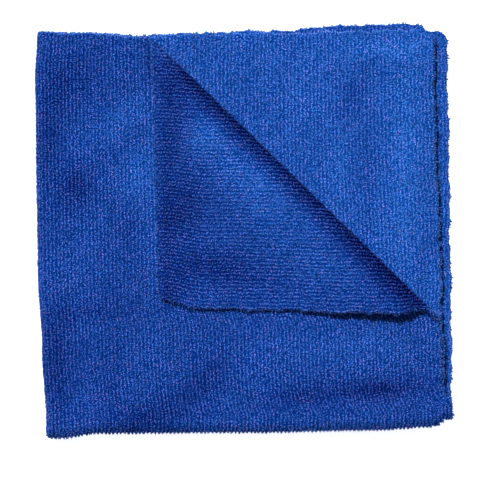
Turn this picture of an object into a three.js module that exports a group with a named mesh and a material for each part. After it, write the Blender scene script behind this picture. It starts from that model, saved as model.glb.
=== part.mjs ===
import * as THREE from 'three';

// A square microfibre cloth, folded in four and laid down, with the free corner of its top
// layer turned back over a soft, unpressed fold. Millimetres, +Z up. The origin lies under
// the middle of the folded cloth, on the surface that the cloth rests on.
//
// The cloth is one sheet. It is drawn flat first, cut into small triangles, and every point
// of the sheet is then carried through the folds: the left fold halves it, the bottom fold
// halves it again, and the turned corner rolls back over a slanting line.

// ---------------------------------------------------------------- driving dimensions

const CLOTH_SIDE = 400;
const THICKNESS = 2.6;
const AIR_BETWEEN_LAYERS = 0.4;
const CORNER_RADIUS = 4.5;
const EDGE_BULGE = 0.6;
const COLOUR = 0x1f4fa8;

// How finely the sheet is divided: over the flat, round each fold, and how close to a crease
// a point counts as lying on it.
const GRID_SPACING = 15;
const FOLD_STEPS = 6;
const NEAR_CREASE = 0.15;
const NUDGE = 0.01;

const HALF_SIDE = CLOTH_SIDE / 2;
const HALF_STACK = HALF_SIDE / 2;
const HALF_THICKNESS = THICKNESS / 2;
const PITCH = THICKNESS + AIR_BETWEEN_LAYERS;

// The left fold turns one layer over the next, the bottom fold wraps two layers round two.
const LEFT_FOLD_RADIUS = PITCH / 2;
const BOTTOM_FOLD_RADIUS = PITCH;
const LEFT_FOLD_HALF_ARC = (Math.PI / 2) * LEFT_FOLD_RADIUS;
const BOTTOM_FOLD_HALF_ARC = (Math.PI / 2) * BOTTOM_FOLD_RADIUS;
const STACK_MIDDLE = LEFT_FOLD_RADIUS + BOTTOM_FOLD_RADIUS + HALF_THICKNESS;
const STACK_TOP = 2 * STACK_MIDDLE;
const TOP_LAYER_HEIGHT = STACK_TOP - HALF_THICKNESS;

// Outer line of the two folds, seen from above: `at` runs along the fold, `is` is its place.
const LEFT_FOLD = [
  { at: -97, is: -97.2 },
  { at: -60, is: -99.2 },
  { at: -20, is: -101.3 },
  { at: 50, is: -102.2 },
  { at: 80, is: -102.6 },
  { at: 97, is: -101.6 },
];
const BOTTOM_FOLD = [
  { at: -96, is: -101.2 },
  { at: -76, is: -98.7 },
  { at: 0, is: -98.3 },
  { at: 60, is: -97.2 },
  { at: 89, is: -95.6 },
  { at: 94, is: -94.6 },
  { at: 97, is: -91.8 },
];

// Where the cut edges of each quarter come to lie: `side` is its right-hand edge, going up
// from the bottom fold, and `end` is its top edge, going right from the left fold.
const QUARTERS = {
  top: {
    side: [
      { at: -97, is: 101.3 },
      { at: -91.5, is: 98.2 },
      { at: -85, is: 96.4 },
      { at: -72, is: 95.8 },
      { at: -52, is: 95.6 },
      { at: -42, is: 91.2 },
      { at: -28, is: 93.2 },
      { at: 74, is: 89.4 },
      { at: 97, is: 84.8 },
    ],
    end: [{ at: -98, is: 97.8 }, { at: -48, is: 95.6 }, { at: 90, is: 96.5 }],
  },
  upper: {
    side: [
      { at: -97, is: 95.5 },
      { at: -85, is: 97.5 },
      { at: -38, is: 95.8 },
      { at: 60, is: 92.8 },
      { at: 97, is: 92.4 },
    ],
    end: [{ at: -98, is: 97.8 }, { at: -48, is: 96 }, { at: 20, is: 97.2 }, { at: 92, is: 98.8 }],
  },
  lower: {
    side: [{ at: -97, is: 95.5 }, { at: -85, is: 97 }, { at: 0, is: 93 }, { at: 100, is: 89 }],
    end: [{ at: -98, is: 98.2 }, { at: -50, is: 96.6 }, { at: 10, is: 98.4 }, { at: 75, is: 101.8 }],
  },
  bottom: {
    side: [{ at: -97, is: 101.6 }, { at: -60, is: 101.4 }, { at: 20, is: 100.4 }, { at: 97, is: 99.2 }],
    end: [{ at: -98, is: 98.2 }, { at: -50, is: 96 }, { at: 98, is: 98.4 }],
  },
};

// The turned corner: the ends of its fold line, and its section across that line. The layer
// runs out flat, turns up round the nose, comes back over a rounded back, slopes down and
// lands on the layer below.
const TURN_START = new THREE.Vector2(-46.7, 96.7);
const TURN_END = new THREE.Vector2(95, -41);
const NOSE_RADIUS = 2.6;
const NOSE_TURN = THREE.MathUtils.degToRad(130);
const BACK_RADIUS = 13;
const SLOPE = THREE.MathUtils.degToRad(12);
const LANDING_RADIUS = 60;
const STEPS = { nose: 5, back: 5, slope: 1, landing: 2 };

// How full the turned fold stands along its line: `at` is the distance from its start.
const TURN_FULLNESS = [
  { at: 0, is: 0.72 },
  { at: 45, is: 0.98 },
  { at: 130, is: 1.05 },
  { at: 197, is: 0.92 },
];

// Soft swells and troughs. Each is a low mound, `length` and `width` from its middle, turned
// by `angle` degrees. Those of the stack press or lift all its layers, those of the turned
// corner lift it alone.
const STACK_SWELLS = [
  { name: 'upper left trough', x: -84, y: 62, angle: 90, length: 36, width: 11, rise: -1.0 },
  { name: 'lower left trough', x: -84, y: -70, angle: 88, length: 30, width: 11, rise: -1.5 },
  { name: 'left crest', x: -60, y: 28, angle: 90, length: 60, width: 16, rise: 0.9 },
  { name: 'bottom trough', x: 50, y: -75, angle: 2, length: 40, width: 11, rise: -1.6 },
  { name: 'middle swell', x: -10, y: -66, angle: 5, length: 40, width: 16, rise: 0.6 },
  { name: 'upper right dip', x: 60, y: 80, angle: 30, length: 20, width: 12, rise: -0.7 },
  { name: 'right swell', x: 74, y: 30, angle: 80, length: 40, width: 16, rise: 0.6 },
];
const CORNER_SWELLS = [
  { name: 'pucker', x: -17, y: 46, angle: 35, length: 14, width: 11, rise: 1.8 },
  { name: 'ridge', x: 18, y: -5, angle: -44, length: 40, width: 14, rise: 1.9 },
  { name: 'lifted edge', x: 60, y: -38, angle: 0, length: 34, width: 12, rise: 1.4 },
];

// ---------------------------------------------------------------- curves and mounds

// Reads a table of { at, is } rows, easing from one row to the next.
function readTable(rows, at) {
  if (at <= rows[0].at) {
    return rows[0].is;
  }
  const next = rows.findIndex((row) => row.at > at);
  if (next < 0) {
    return rows[rows.length - 1].is;
  }
  const from = rows[next - 1];
  const to = rows[next];
  const ease = THREE.MathUtils.smoothstep(at, from.at, to.at);
  return THREE.MathUtils.lerp(from.is, to.is, ease);
}

function swellHeight(swells, x, y) {
  let height = 0;
  for (const swell of swells) {
    const away = new THREE.Vector2(x - swell.x, y - swell.y);
    away.rotateAround(new THREE.Vector2(), -THREE.MathUtils.degToRad(swell.angle));
    const square = (away.x / swell.length) ** 2 + (away.y / swell.width) ** 2;
    height += swell.rise * Math.exp(-square);
  }
  return height;
}

// ---------------------------------------------------------------- the turned corner

const turnLine = TURN_END.clone().sub(TURN_START).normalize();
const turnOutward = new THREE.Vector2(-turnLine.y, turnLine.x);
const turnBegins = -NOSE_RADIUS - HALF_THICKNESS;

// Each stretch of the section is an arc, or a straight run where it has no turn. The slope
// is as long as it takes to come down to rest one layer above the flat part.
function turnSection() {
  const backTurn = Math.PI + SLOPE - NOSE_TURN;
  const rise = NOSE_RADIUS * (1 - Math.cos(NOSE_TURN))
    + BACK_RADIUS * (Math.cos(NOSE_TURN) + Math.cos(SLOPE));
  const landingDrop = LANDING_RADIUS * (1 - Math.cos(SLOPE));
  const slopeRun = (rise - landingDrop - PITCH) / Math.sin(SLOPE);
  return [
    { length: NOSE_RADIUS * NOSE_TURN, turn: NOSE_TURN, steps: STEPS.nose },
    { length: BACK_RADIUS * backTurn, turn: backTurn, steps: STEPS.back },
    { length: slopeRun, turn: 0, steps: STEPS.slope },
    { length: LANDING_RADIUS * SLOPE, turn: -SLOPE, steps: STEPS.landing },
  ];
}

const SECTION = turnSection();
const SECTION_LENGTH = SECTION.reduce((sum, stretch) => sum + stretch.length, 0);

// Distances beyond the start of the turn at which the sheet is creased into flat facets.
function turnCreases() {
  const creases = [0];
  let start = 0;
  for (const { length, steps } of SECTION) {
    for (let step = 1; step <= steps; step += 1) {
      creases.push(start + (length * step) / steps);
    }
    start += length;
  }
  return creases;
}

// Walks the section for `distance` and gives how far out and how high that point lies.
function walkSection(distance) {
  const point = new THREE.Vector2(0, 0);
  let heading = 0;
  let left = distance;
  for (const { length, turn } of SECTION) {
    const part = Math.min(left, length);
    const turned = (turn * part) / length;
    const chord = turned === 0 ? part : (2 * length * Math.sin(turned / 2)) / turn;
    point.x += chord * Math.cos(heading + turned / 2);
    point.y += chord * Math.sin(heading + turned / 2);
    heading += turned;
    left -= part;
  }
  point.x += left * Math.cos(heading);
  point.y += left * Math.sin(heading);
  return point;
}

// The middle of the turned layer. A fold that stands less full is lower by the same share,
// but still comes to rest one layer up.
function turnedMiddle(distance, fullness) {
  const point = walkSection(distance);
  const rested = THREE.MathUtils.clamp(distance / SECTION_LENGTH, 0, 1);
  point.y = point.y * fullness + PITCH * (1 - fullness) * rested;
  return point;
}

// Carries a point of the top layer, `distance` past the start of the turn, round the turn.
function turnBack(x, y, distance, offset) {
  const along = new THREE.Vector2(x, y).sub(TURN_START).dot(turnLine);
  const fullness = readTable(TURN_FULLNESS, along);
  const middle = turnedMiddle(distance, fullness);
  const heading = turnedMiddle(distance + NUDGE, fullness).sub(middle).normalize();
  const out = turnBegins + middle.x;
  const place = TURN_START.clone().addScaledVector(turnLine, along);
  place.addScaledVector(turnOutward, out - heading.y * offset);
  const settled = THREE.MathUtils.smoothstep(-out, 0, BACK_RADIUS);
  const lift = settled * swellHeight(CORNER_SWELLS, place.x, place.y);
  const height = TOP_LAYER_HEIGHT + middle.y + heading.x * offset + lift;
  return new THREE.Vector3(place.x, place.y, height);
}

// ---------------------------------------------------------------- the four layers

function quarterAt(across, along) {
  if (along >= 0) {
    return across >= 0 ? QUARTERS.top : QUARTERS.upper;
  }
  return across >= 0 ? QUARTERS.bottom : QUARTERS.lower;
}

// Splits a distance from a fold line into the angle turned round the fold, and the share of
// the flat layer beyond it.
function roundFold(flat, halfArc) {
  const angle = (Math.PI / 2) * (1 - THREE.MathUtils.clamp(flat / halfArc, -1, 1));
  const share = Math.max(0, Math.abs(flat) - halfArc) / (HALF_SIDE - halfArc);
  return { angle, share };
}

// Finds where a flat point comes to lie, seen from above, before the folds are rounded.
function layOut(across, along) {
  const { lerp } = THREE.MathUtils;
  const quarter = quarterAt(across, along);
  const leftFold = roundFold(across, LEFT_FOLD_HALF_ARC);
  const bottomFold = roundFold(along, BOTTOM_FOLD_HALF_ARC);
  const roughX = lerp(-HALF_STACK, HALF_STACK, leftFold.share);
  const roughY = lerp(-HALF_STACK, HALF_STACK, bottomFold.share);
  const left = readTable(LEFT_FOLD, roughY) + LEFT_FOLD_RADIUS + HALF_THICKNESS;
  const bottom = readTable(BOTTOM_FOLD, roughX) + STACK_MIDDLE;
  const x = lerp(left, readTable(quarter.side, roughY), leftFold.share);
  const y = lerp(bottom, readTable(quarter.end, roughX), bottomFold.share);
  return { quarter, leftFold, bottomFold, x, y };
}

// How far a flat point lies beyond the start of the turn, and below zero where nothing turns.
function beyondTurn(layout) {
  const onTop = layout.quarter === QUARTERS.top;
  if (!onTop || layout.leftFold.share === 0 || layout.bottomFold.share === 0) {
    return -CLOTH_SIDE;
  }
  const fromStart = new THREE.Vector2(layout.x, layout.y).sub(TURN_START);
  return fromStart.dot(turnOutward) - turnBegins;
}

// Carries a point of the flat sheet into the folded cloth. `across` and `along` are measured
// from where the two fold lines cross, `offset` from the middle of the sheet's thickness.
function fold({ across, along }, offset) {
  const layout = layOut(across, along);
  const leftRadius = LEFT_FOLD_RADIUS + offset;
  const bottomRadius = BOTTOM_FOLD_RADIUS + leftRadius * Math.cos(layout.leftFold.angle);
  const distance = beyondTurn(layout);
  let point = new THREE.Vector3(
    layout.x - leftRadius * Math.sin(layout.leftFold.angle),
    layout.y - bottomRadius * Math.sin(layout.bottomFold.angle),
    STACK_MIDDLE + bottomRadius * Math.cos(layout.bottomFold.angle),
  );
  if (distance > 0) {
    point = turnBack(layout.x, layout.y, distance, offset);
  }
  point.z *= 1 + swellHeight(STACK_SWELLS, point.x, point.y) / STACK_TOP;
  return point;
}

// ---------------------------------------------------------------- the flat sheet

// Grid lines over half the sheet: close round the fold, wide over the flat, and two lines
// inside the rounded corner.
function gridLines(halfArc) {
  const lines = [];
  for (let step = -FOLD_STEPS / 2; step <= FOLD_STEPS / 2; step += 1) {
    lines.push((halfArc * step) / (FOLD_STEPS / 2));
  }
  const flatEnd = HALF_SIDE - CORNER_RADIUS;
  const count = Math.round((flatEnd - halfArc) / GRID_SPACING);
  for (let step = 1; step <= count; step += 1) {
    const line = halfArc + ((flatEnd - halfArc) * step) / count;
    lines.push(line, -line);
  }
  lines.push(HALF_SIDE - CORNER_RADIUS / 2, CORNER_RADIUS / 2 - HALF_SIDE, HALF_SIDE, -HALF_SIDE);
  return lines.sort((a, b) => a - b);
}

// Pulls the points of a corner's square in to its rounded outline.
function roundCorner(across, along) {
  const inner = HALF_SIDE - CORNER_RADIUS;
  const pastX = Math.max(0, Math.abs(across) - inner);
  const pastY = Math.max(0, Math.abs(along) - inner);
  const reach = Math.hypot(pastX, pastY);
  const shrink = reach === 0 ? 1 : Math.max(pastX, pastY) / reach;
  return {
    across: Math.sign(across) * (Math.min(Math.abs(across), inner) + pastX * shrink),
    along: Math.sign(along) * (Math.min(Math.abs(along), inner) + pastY * shrink),
  };
}

function flatSheet() {
  const columns = gridLines(LEFT_FOLD_HALF_ARC);
  const rows = gridLines(BOTTOM_FOLD_HALF_ARC);
  const points = [];
  for (const along of rows) {
    for (const across of columns) {
      points.push(roundCorner(across, along));
    }
  }
  const triangles = [];
  for (let row = 0; row + 1 < rows.length; row += 1) {
    for (let column = 0; column + 1 < columns.length; column += 1) {
      const corner = row * columns.length + column;
      const above = corner + columns.length;
      triangles.push([corner, corner + 1, above]);
      triangles.push([corner + 1, above + 1, above]);
    }
  }
  return { points, triangles };
}

// Cuts every triangle that a crease crosses, so that facets meet along it. `levels` holds
// each point's distance past the crease.
function cutAlong(sheet, crease) {
  const levels = sheet.points.map((point) => {
    const level = beyondTurn(layOut(point.across, point.along)) - crease;
    return Math.abs(level) < NEAR_CREASE ? 0 : level;
  });
  const cuts = new Map();
  const cutEdge = (from, to) => {
    const key = `${Math.min(from, to)} ${Math.max(from, to)}`;
    if (!cuts.has(key)) {
      const share = levels[from] / (levels[from] - levels[to]);
      const a = sheet.points[from];
      const b = sheet.points[to];
      cuts.set(key, sheet.points.length);
      sheet.points.push({
        across: THREE.MathUtils.lerp(a.across, b.across, share),
        along: THREE.MathUtils.lerp(a.along, b.along, share),
      });
    }
    return cuts.get(key);
  };
  const triangles = [];
  for (const corners of sheet.triangles) {
    const past = corners.some((corner) => levels[corner] > 0);
    const before = corners.some((corner) => levels[corner] < 0);
    if (!past || !before) {
      triangles.push(corners);
      continue;
    }
    const sides = [[], []];
    corners.forEach((corner, index) => {
      const next = corners[(index + 1) % corners.length];
      if (levels[corner] >= 0) {
        sides[0].push(corner);
      }
      if (levels[corner] <= 0) {
        sides[1].push(corner);
      }
      if (levels[corner] * levels[next] < 0) {
        const cut = cutEdge(corner, next);
        sides[0].push(cut);
        sides[1].push(cut);
      }
    });
    for (const side of sides) {
      for (let index = 2; index < side.length; index += 1) {
        triangles.push([side[0], side[index - 1], side[index]]);
      }
    }
  }
  sheet.triangles = triangles;
}

// ---------------------------------------------------------------- the solid

// The sheet's outline, as the triangle edges that only one triangle has.
function outlineEdges(triangles) {
  const edges = new Map();
  for (const corners of triangles) {
    corners.forEach((from, index) => {
      const to = corners[(index + 1) % corners.length];
      if (!edges.delete(`${to} ${from}`)) {
        edges.set(`${from} ${to}`, [from, to]);
      }
    });
  }
  return [...edges.values()];
}

// Gives the flat sheet its thickness: one face on each side, joined by a rounded cut edge.
function clothGeometry() {
  const sheet = flatSheet();
  for (const crease of turnCreases()) {
    cutAlong(sheet, crease);
  }
  const count = sheet.points.length;
  const vertices = [];
  for (const offset of [HALF_THICKNESS, -HALF_THICKNESS]) {
    for (const point of sheet.points) {
      vertices.push(fold(point, offset));
    }
  }
  const indices = [];
  for (const [a, b, c] of sheet.triangles) {
    indices.push(a, b, c);
    indices.push(c + count, b + count, a + count);
  }
  const rim = new Map();
  const grow = 1 + EDGE_BULGE / HALF_SIDE;
  const edges = outlineEdges(sheet.triangles);
  for (const [from] of edges) {
    const { across, along } = sheet.points[from];
    rim.set(from, vertices.length);
    vertices.push(fold({ across: across * grow, along: along * grow }, 0));
  }
  for (const [from, to] of edges) {
    const middle = [rim.get(from), rim.get(to)];
    indices.push(from, middle[0], to, to, middle[0], middle[1]);
    indices.push(middle[0], from + count, middle[1], middle[1], from + count, to + count);
  }
  const geometry = new THREE.BufferGeometry().setFromPoints(vertices);
  geometry.setIndex(indices);
  geometry.computeVertexNormals();
  return geometry;
}

// Sets the cloth down with the middle of its outline over the origin.
function makeCloth() {
  const geometry = clothGeometry();
  geometry.computeBoundingBox();
  const middle = geometry.boundingBox.getCenter(new THREE.Vector3());
  geometry.translate(-middle.x, -middle.y, 0);
  const material = new THREE.MeshStandardMaterial({
    color: COLOUR,
    roughness: 0.95,
    metalness: 0,
    flatShading: true,
  });
  const cloth = new THREE.Mesh(geometry, material);
  cloth.name = 'cloth';
  return cloth;
}

const part = new THREE.Group();
part.name = 'folded_microfibre_cloth';
part.add(makeCloth());

export default part;
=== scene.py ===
# %% [markdown]
# # A folded microfibre cloth
#
# The real object is one square of warp-knitted microfibre: a thin ground with rows of small
# loops standing on both faces. It is folded in four, laid down, and the free corner of its top
# layer is turned back over a soft fold that nobody pressed.
#
# The lesson builds it the way a maker would: the flat sheet first, then the folds, then the
# pile that stands on it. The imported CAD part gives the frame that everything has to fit.

import math

import bmesh
import bpy
import numpy as np
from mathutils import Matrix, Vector


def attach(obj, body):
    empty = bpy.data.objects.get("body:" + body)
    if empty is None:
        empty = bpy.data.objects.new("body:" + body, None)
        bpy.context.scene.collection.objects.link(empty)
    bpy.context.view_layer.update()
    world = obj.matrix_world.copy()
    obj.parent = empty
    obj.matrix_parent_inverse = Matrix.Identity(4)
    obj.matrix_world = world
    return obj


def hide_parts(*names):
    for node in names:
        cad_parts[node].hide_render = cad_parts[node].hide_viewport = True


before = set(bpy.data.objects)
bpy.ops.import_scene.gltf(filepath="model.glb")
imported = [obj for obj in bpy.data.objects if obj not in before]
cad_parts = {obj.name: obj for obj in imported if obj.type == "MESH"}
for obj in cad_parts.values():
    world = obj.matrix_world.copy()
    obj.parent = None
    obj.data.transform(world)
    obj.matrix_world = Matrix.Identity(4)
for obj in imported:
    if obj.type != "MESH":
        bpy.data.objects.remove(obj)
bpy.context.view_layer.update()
MM = 0.001

# %% [markdown]
# ## Two small helpers
#
# Colours are written as the sRGB hex values that a dye card would give, and one function turns
# them into the linear numbers that the renderer works with. A second function adds a node to a
# tree with its settings and links, so that a tree reads as a list of steps.

# %% Colour and node helpers


def colour(hex_code, alpha=1.0):
    """Turns an sRGB hex colour into linear red, green, blue and alpha."""
    parts = [int(hex_code[i : i + 2], 16) / 255 for i in (1, 3, 5)]
    linear = [p / 12.92 if p <= 0.04045 else ((p + 0.055) / 1.055) ** 2.4 for p in parts]
    return (*linear, alpha)


def add_node(tree, kind, inputs=None, **settings):
    """Adds a node, sets it up, and links or fills the inputs that are named or numbered."""
    node = tree.nodes.new(kind)
    for name, value in settings.items():
        setattr(node, name, value)
    for name, value in (inputs or {}).items():
        if isinstance(name, str):
            socket = next(s for s in node.inputs if s.name == name and s.enabled)
        else:
            socket = node.inputs[name]
        if isinstance(value, bpy.types.Node):
            value = result(value)
        if isinstance(value, bpy.types.NodeSocket):
            tree.links.new(value, socket)
        else:
            socket.default_value = value
    return node


def result(node, name=None):
    """Finds the output in use that has the name, or the first one in use."""
    return next(s for s in node.outputs if s.enabled and name in (None, s.name))


print("mid grey in linear light:", round(colour("#808080")[0], 3))

# %% [markdown]
# ## The sizes of the cloth
#
# Everything below is in millimetres until a mesh is made. The fold lines, the cut edges and
# the turned corner are the same ones that the CAD solid has. The ground is thinner here,
# because the pile that stands on it makes up the rest of the thickness. A cut edge of knit is
# never quite straight, so it also gets three small waves, which together reach 0.8 mm. The
# solid's coarser grid leaves them out.

# %% Sheet, folds and edges
SIDE = 400.0
HALF = SIDE / 2
HALF_STACK = HALF / 2
CORNER = 4.5
INNER = HALF - CORNER

# The thickness counts the pile, and the pitch is the step from one layer to the next.
THICKNESS = 2.6
HALF_THICKNESS = THICKNESS / 2
PITCH = 3.0

# Half the thickness of the knitted ground, and how far its sealed edge bulges.
GROUND = 0.85
EDGE_BULGE = 0.45

LEFT_RADIUS = PITCH / 2
BOTTOM_RADIUS = PITCH
LEFT_ARC = math.pi / 2 * LEFT_RADIUS
BOTTOM_ARC = math.pi / 2 * BOTTOM_RADIUS
MIDDLE = LEFT_RADIUS + BOTTOM_RADIUS + HALF_THICKNESS
STACK_TOP = 2 * MIDDLE
TOP_LAYER = STACK_TOP - HALF_THICKNESS

# Each table runs along a fold or an edge: (place along it, where it lies).
LEFT_FOLD = [(-97, -97.2), (-60, -99.2), (-20, -101.3), (50, -102.2), (80, -102.6), (97, -101.6)]
BOTTOM_FOLD = [(-96, -101.2), (-76, -98.7), (0, -98.3), (60, -97.2), (89, -95.6)]
BOTTOM_FOLD += [(94, -94.6), (97, -91.8)]
SIDES = {
    "top": [
        (-97, 101.3),
        (-91.5, 98.2),
        (-85, 96.4),
        (-72, 95.8),
        (-52, 95.6),
        (-42, 91.2),
        (-28, 93.2),
        (74, 89.4),
        (97, 84.8),
    ],
    "upper": [(-97, 95.5), (-85, 97.5), (-38, 95.8), (60, 92.8), (97, 92.4)],
    "lower": [(-97, 95.5), (-85, 97), (0, 93), (100, 89)],
    "bottom": [(-97, 101.6), (-60, 101.4), (20, 100.4), (97, 99.2)],
}
ENDS = {
    "top": [(-98, 97.8), (-48, 95.6), (90, 96.5)],
    "upper": [(-98, 97.8), (-48, 96), (20, 97.2), (92, 98.8)],
    "lower": [(-98, 98.2), (-50, 96.6), (10, 98.4), (75, 101.8)],
    "bottom": [(-98, 98.2), (-50, 96), (98, 98.4)],
}

# Waves of a cut edge: (length over two pi, height). A high power keeps them close to the edge.
# The sides count their starts from 0 and the ends from here, so that no two edges are alike.
EDGE_WAVES = [(1.1, 0.22), (2.6, 0.26), (6.3, 0.3)]
WAVE_POWER = 12
ENDS_START = 5

TURN_START = np.array([-46.7, 96.7])
TURN_END = np.array([95.0, -41.0])
NOSE_RADIUS = 2.6
NOSE_TURN = math.radians(130)
BACK_RADIUS = 13.0
SLOPE = math.radians(12)
LANDING_RADIUS = 60.0
TURN_FULLNESS = [(0, 0.72), (45, 0.98), (130, 1.05), (197, 0.92)]

# Soft swells: (x, y, angle in degrees, half length, half width, rise).
STACK_SWELLS = [
    (-84, 62, 90, 36, 11, -1.0),
    (-84, -70, 88, 30, 11, -1.5),
    (-60, 28, 90, 60, 16, 0.9),
    (50, -75, 2, 40, 11, -1.6),
    (-10, -66, 5, 40, 16, 0.6),
    (60, 80, 30, 20, 12, -0.7),
    (74, 30, 80, 40, 16, 0.6),
]
CORNER_SWELLS = [
    (-17, 46, 35, 14, 11, 1.8),
    (18, -5, -44, 40, 14, 1.9),
    (60, -38, 0, 34, 12, 1.4),
]
print("height of the flat stack in mm:", round(STACK_TOP, 1))

# %% [markdown]
# ## Carrying a point through the folds
#
# Each point of the flat sheet has a place across, a place along and a height above the middle
# of the sheet. The functions here carry many points at once through the left fold, the bottom
# fold and the turned corner. Because the height goes through the folds too, the two faces of
# the sheet, and the pile that stands on them, all bend round the same lines.

# %% The folding functions


def ease_between(value, low=0, high=1):
    """Goes smoothly from 0 at low to 1 at high."""
    share = np.clip((value - low) / (high - low), 0, 1)
    return share * share * (3 - 2 * share)


def read_table(rows, at):
    """Reads a table at many places, easing from one row to the next."""
    places = np.array([row[0] for row in rows], float)
    values = np.array([row[1] for row in rows], float)
    at = np.clip(at, places[0], places[-1])
    low = np.clip(np.searchsorted(places, at, side="right") - 1, 0, len(rows) - 2)
    ease = ease_between(at, places[low], places[low + 1])
    return values[low] + (values[low + 1] - values[low]) * ease


def swell_height(swells, x, y):
    """Adds up the low mounds and hollows at many places."""
    height = np.zeros_like(x)
    for centre_x, centre_y, angle, length, width, rise in swells:
        turn = math.radians(angle)
        away_x, away_y = x - centre_x, y - centre_y
        ahead = away_x * math.cos(turn) + away_y * math.sin(turn)
        aside = away_y * math.cos(turn) - away_x * math.sin(turn)
        height += rise * np.exp(-((ahead / length) ** 2) - (aside / width) ** 2)
    return height


TURN_LINE = (TURN_END - TURN_START) / np.linalg.norm(TURN_END - TURN_START)
TURN_OUT = np.array([-TURN_LINE[1], TURN_LINE[0]])
TURN_BEGINS = -NOSE_RADIUS - HALF_THICKNESS


def turn_section():
    """Lists the arcs and the straight run of the turned corner as (length, turn)."""
    back_turn = math.pi + SLOPE - NOSE_TURN
    rise = NOSE_RADIUS * (1 - math.cos(NOSE_TURN))
    rise += BACK_RADIUS * (math.cos(NOSE_TURN) + math.cos(SLOPE))
    drop = LANDING_RADIUS * (1 - math.cos(SLOPE))
    slope_run = (rise - drop - PITCH) / math.sin(SLOPE)
    return [
        (NOSE_RADIUS * NOSE_TURN, NOSE_TURN),
        (BACK_RADIUS * back_turn, back_turn),
        (slope_run, 0.0),
        (LANDING_RADIUS * SLOPE, -SLOPE),
    ]


SECTION = turn_section()
SECTION_LENGTH = sum(length for length, turn in SECTION)


def turned_middle(distance, fullness):
    """Walks the section and gives how far out and how high the turned layer lies."""
    out = np.zeros_like(distance)
    up = np.zeros_like(distance)
    heading = np.zeros_like(distance)
    left = distance.copy()
    for length, turn in SECTION:
        part = np.minimum(left, length)
        turned = turn * part / length
        chord = 2 * length * np.sin(turned / 2) / turn if turn else part
        out += chord * np.cos(heading + turned / 2)
        up += chord * np.sin(heading + turned / 2)
        heading += turned
        left -= part
    out += left * np.cos(heading)
    up += left * np.sin(heading)
    rested = np.clip(distance / SECTION_LENGTH, 0, 1)
    return out, up * fullness + PITCH * (1 - fullness) * rested


def edge_waves(at, start):
    """Adds up the small waves of a cut edge. Each edge has its own start."""
    return sum(high * np.sin(at / long + start * long) for long, high in EDGE_WAVES)


def lay_out(across, along, wavy=1.0):
    """Finds where flat points come to lie, before the folds are rounded."""
    left_angle = math.pi / 2 * (1 - np.clip(across / LEFT_ARC, -1, 1))
    bottom_angle = math.pi / 2 * (1 - np.clip(along / BOTTOM_ARC, -1, 1))
    share_x = np.maximum(0, np.abs(across) - LEFT_ARC) / (HALF - LEFT_ARC)
    share_y = np.maximum(0, np.abs(along) - BOTTOM_ARC) / (HALF - BOTTOM_ARC)
    rough_x = HALF_STACK * (2 * share_x - 1)
    rough_y = HALF_STACK * (2 * share_y - 1)
    left = read_table(LEFT_FOLD, rough_y) + LEFT_RADIUS + HALF_THICKNESS
    bottom = read_table(BOTTOM_FOLD, rough_x) + MIDDLE
    names = np.where(
        along >= 0,
        np.where(across >= 0, "top", "upper"),
        np.where(across >= 0, "bottom", "lower"),
    )
    side = np.zeros_like(across)
    end = np.zeros_like(across)
    wave_x = np.zeros_like(across)
    wave_y = np.zeros_like(across)
    for number, name in enumerate(SIDES):
        here = names == name
        side[here] = read_table(SIDES[name], rough_y[here])
        end[here] = read_table(ENDS[name], rough_x[here])
        wave_x[here] = edge_waves(rough_y[here], number)
        wave_y[here] = edge_waves(rough_x[here], number + ENDS_START)
    return {
        "layer": names,
        "left_angle": left_angle,
        "bottom_angle": bottom_angle,
        "x": left + (side - left) * share_x + wavy * wave_x * share_x**WAVE_POWER,
        "y": bottom + (end - bottom) * share_y + wavy * wave_y * share_y**WAVE_POWER,
        "flat": (share_x > 0) & (share_y > 0),
    }


def beyond_turn(plan):
    """How far each point lies past the start of the turned corner."""
    away = np.stack([plan["x"], plan["y"]], -1) - TURN_START
    distance = away @ TURN_OUT - TURN_BEGINS
    return np.where((plan["layer"] == "top") & plan["flat"], distance, -SIDE)


def fold(across, along, offset, wavy=1.0):
    """Carries flat points into the folded cloth and gives their places as rows."""
    plan = lay_out(across, along, wavy)
    left_radius = LEFT_RADIUS + offset
    bottom_radius = BOTTOM_RADIUS + left_radius * np.cos(plan["left_angle"])
    x = plan["x"] - left_radius * np.sin(plan["left_angle"])
    y = plan["y"] - bottom_radius * np.sin(plan["bottom_angle"])
    z = MIDDLE + bottom_radius * np.cos(plan["bottom_angle"])

    distance = beyond_turn(plan)
    turned = distance > 0
    away = np.stack([plan["x"], plan["y"]], -1)[turned] - TURN_START
    ahead = away @ TURN_LINE
    fullness = read_table(TURN_FULLNESS, ahead)
    nudge = 0.01
    out, up = turned_middle(distance[turned], fullness)
    next_out, next_up = turned_middle(distance[turned] + nudge, fullness)
    size = np.hypot(next_out - out, next_up - up)
    heading_out, heading_up = (next_out - out) / size, (next_up - up) / size
    height = (offset + np.zeros_like(across))[turned]
    out = TURN_BEGINS + out
    spot = TURN_START + ahead[:, None] * TURN_LINE
    spot = spot + (out - heading_up * height)[:, None] * TURN_OUT
    lift = ease_between(-out, 0, BACK_RADIUS) * swell_height(CORNER_SWELLS, *spot.T)
    x[turned], y[turned] = spot.T
    z[turned] = TOP_LAYER + up + heading_out * height + lift
    z = z * (1 + swell_height(STACK_SWELLS, x, y) / STACK_TOP)
    return np.stack([x, y, z], -1)


print("length of the turned corner's section in mm:", round(SECTION_LENGTH, 1))

# %% [markdown]
# ## The ground of the cloth
#
# The ground is the thin knitted sheet that the pile stands on. It could be draped by a cloth
# simulation, but these folds were laid by hand, so the flat sheet is carried straight through
# the folding functions instead. The flat grid is close round the two folds, and it is cut along
# the lines where the turned corner bends, because a grid that crossed those lines at a slant
# would give them a saw-tooth edge.

# %% The flat grid, cut along the creases of the turned corner
GRID = 2.35
BEND_STEPS = 14
CREASE_STEPS = (12, 12, 4, 5)
CORNER_STEPS = 4

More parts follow.
